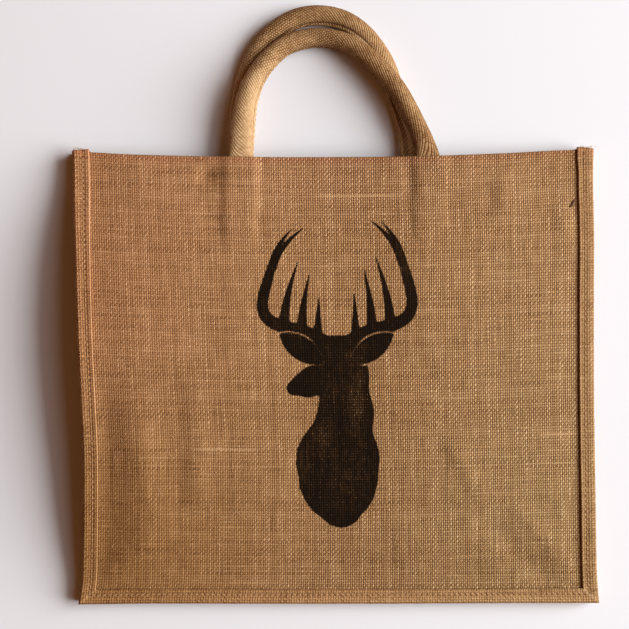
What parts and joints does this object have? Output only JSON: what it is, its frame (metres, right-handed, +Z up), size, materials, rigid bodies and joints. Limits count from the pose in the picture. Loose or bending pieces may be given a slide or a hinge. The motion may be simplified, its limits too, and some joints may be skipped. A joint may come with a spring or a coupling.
{
  "type": "jute tote bag",
  "caption": "Flat-lying jute shopper with a gusset, bound seams, a turned top hem and padded carrying handles.",
  "frame": {"origin": "on the floor, under the middle of the bag's overall box", "axes": "+Y from the bottom edge towards the mouth and the handles, +X across the face to its right edge, +Z up from the floor, out of the front face"},
  "size_m": [0.4102, 0.4686, 0.0513],
  "materials": {
    "jute": "matt plain-woven jute",
    "binding": "matt jute strip, folded",
    "tape": "jute and cotton twill tape"
  },
  "bodies": {
    "root": {"front_panel": "jute", "back_panel": "jute", "gusset": "jute", "front_binding": "binding", "back_binding": "binding", "front_handle": "tape", "back_handle": "tape"}
  },
  "joints": []
}
